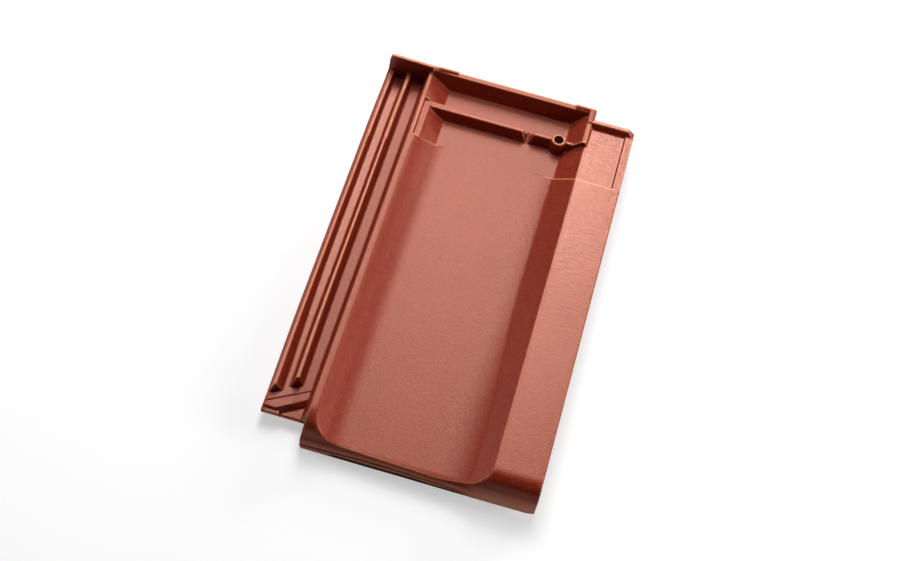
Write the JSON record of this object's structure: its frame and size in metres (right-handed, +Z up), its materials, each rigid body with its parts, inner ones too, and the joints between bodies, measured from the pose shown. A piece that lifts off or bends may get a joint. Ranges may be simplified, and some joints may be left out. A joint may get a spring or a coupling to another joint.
{
  "type": "clay roof tile",
  "caption": "Interlocking flat-pan roof tile in red clay with side water channels, wide trough, flat cover roll, head rim and drain rib.",
  "frame": {"origin": "centre of the tile's footprint, on the level floor it lies on", "axes": "+Y from the foot edge to the head rim, +X from the side lock to the cover roll, +Z up out of the weather face"},
  "size_m": [0.29, 0.471, 0.051],
  "materials": {
    "clay": "natural red clay with a satin engobe"
  },
  "bodies": {
    "root": {"roof_tile": "clay"}
  },
  "joints": []
}
